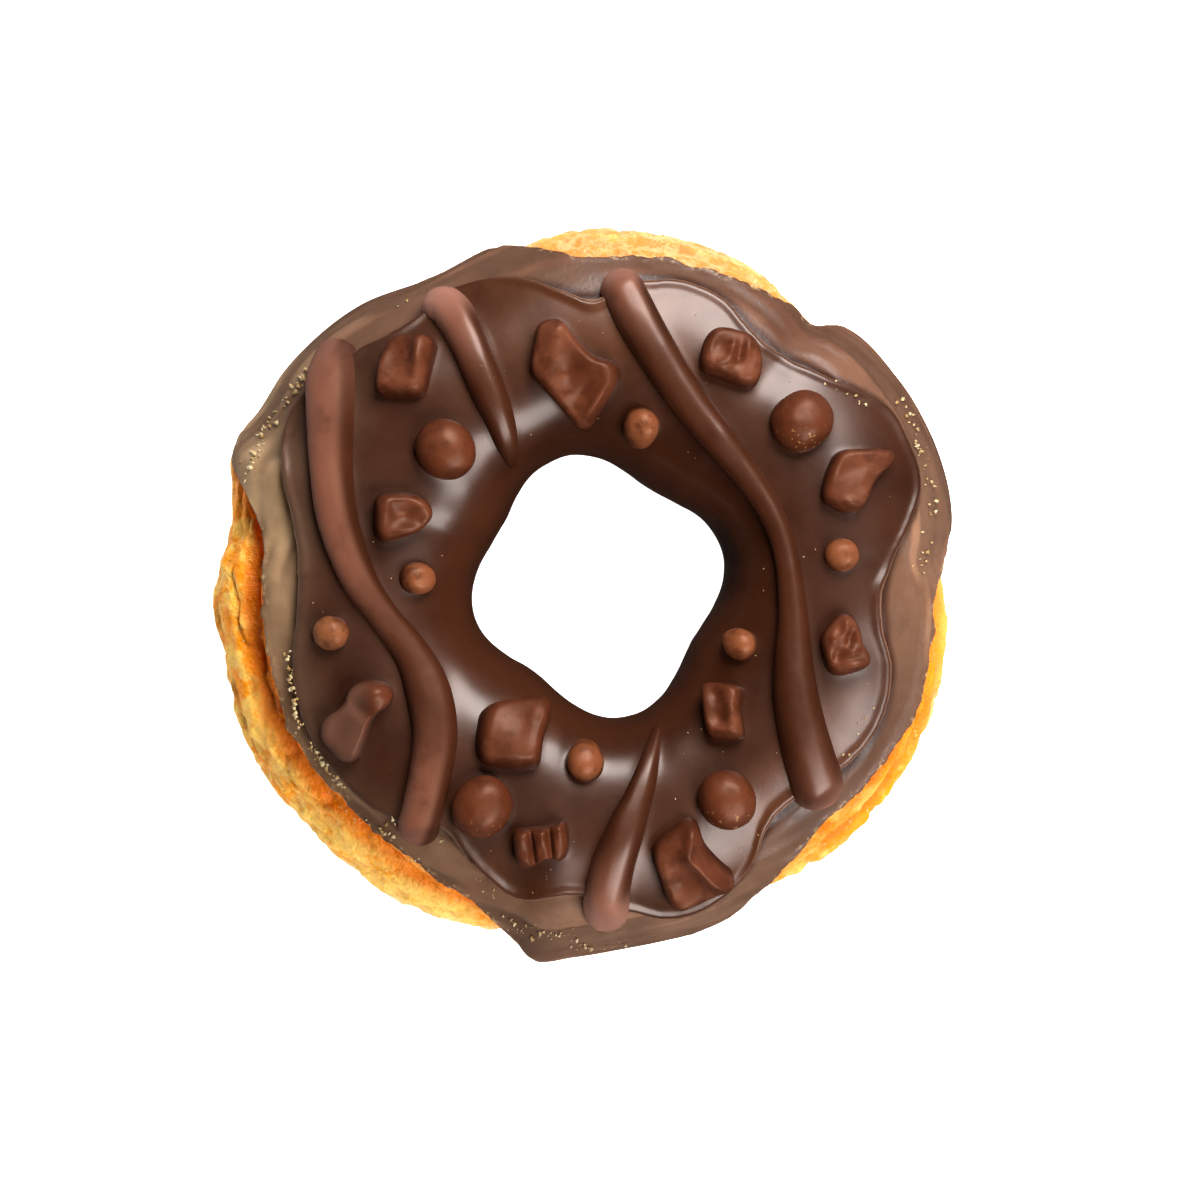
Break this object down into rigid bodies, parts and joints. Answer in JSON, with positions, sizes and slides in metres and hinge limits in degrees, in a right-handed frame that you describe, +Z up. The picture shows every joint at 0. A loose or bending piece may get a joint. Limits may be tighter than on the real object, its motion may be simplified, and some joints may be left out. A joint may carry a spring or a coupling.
{
  "type": "chocolate_ring_doughnut",
  "caption": "Ring doughnut of fried dough with two coats of chocolate, piped chocolate strands, chocolate chunks and round beads on top",
  "frame": {"origin": "middle of the outline's box, on the surface that the flat underside rests on", "axes": "+X to the right of the view from above, +Y away from the viewer, +Z up through the hole"},
  "size_m": [0.0915, 0.0906, 0.0342],
  "materials": {
    "fried_dough": "golden fried crust with craggy creases, matte with a slight oily sheen",
    "thin_chocolate": "thin dull chocolate glaze, greyish where it has dried over the crust",
    "thick_chocolate": "smooth satin dark chocolate icing",
    "milk_chocolate": "satin milk chocolate, redder and lighter than the icing"
  },
  "bodies": {
    "root": {"dough": "fried_dough", "first_coat": "thin_chocolate", "second_coat": "thick_chocolate", "bead_01": "milk_chocolate", "bead_02": "milk_chocolate", "bead_03": "milk_chocolate", "bead_04": "milk_chocolate", "chunk_01": "milk_chocolate", "chunk_02": "milk_chocolate", "chunk_03": "milk_chocolate", "chunk_04": "milk_chocolate", "chunk_05": "milk_chocolate", "chunk_06": "milk_chocolate", "chunk_07": "milk_chocolate", "chunk_08": "milk_chocolate", "chunk_09": "milk_chocolate", "chunk_10": "milk_chocolate", "chunk_11": "milk_chocolate"}
  },
  "joints": []
}
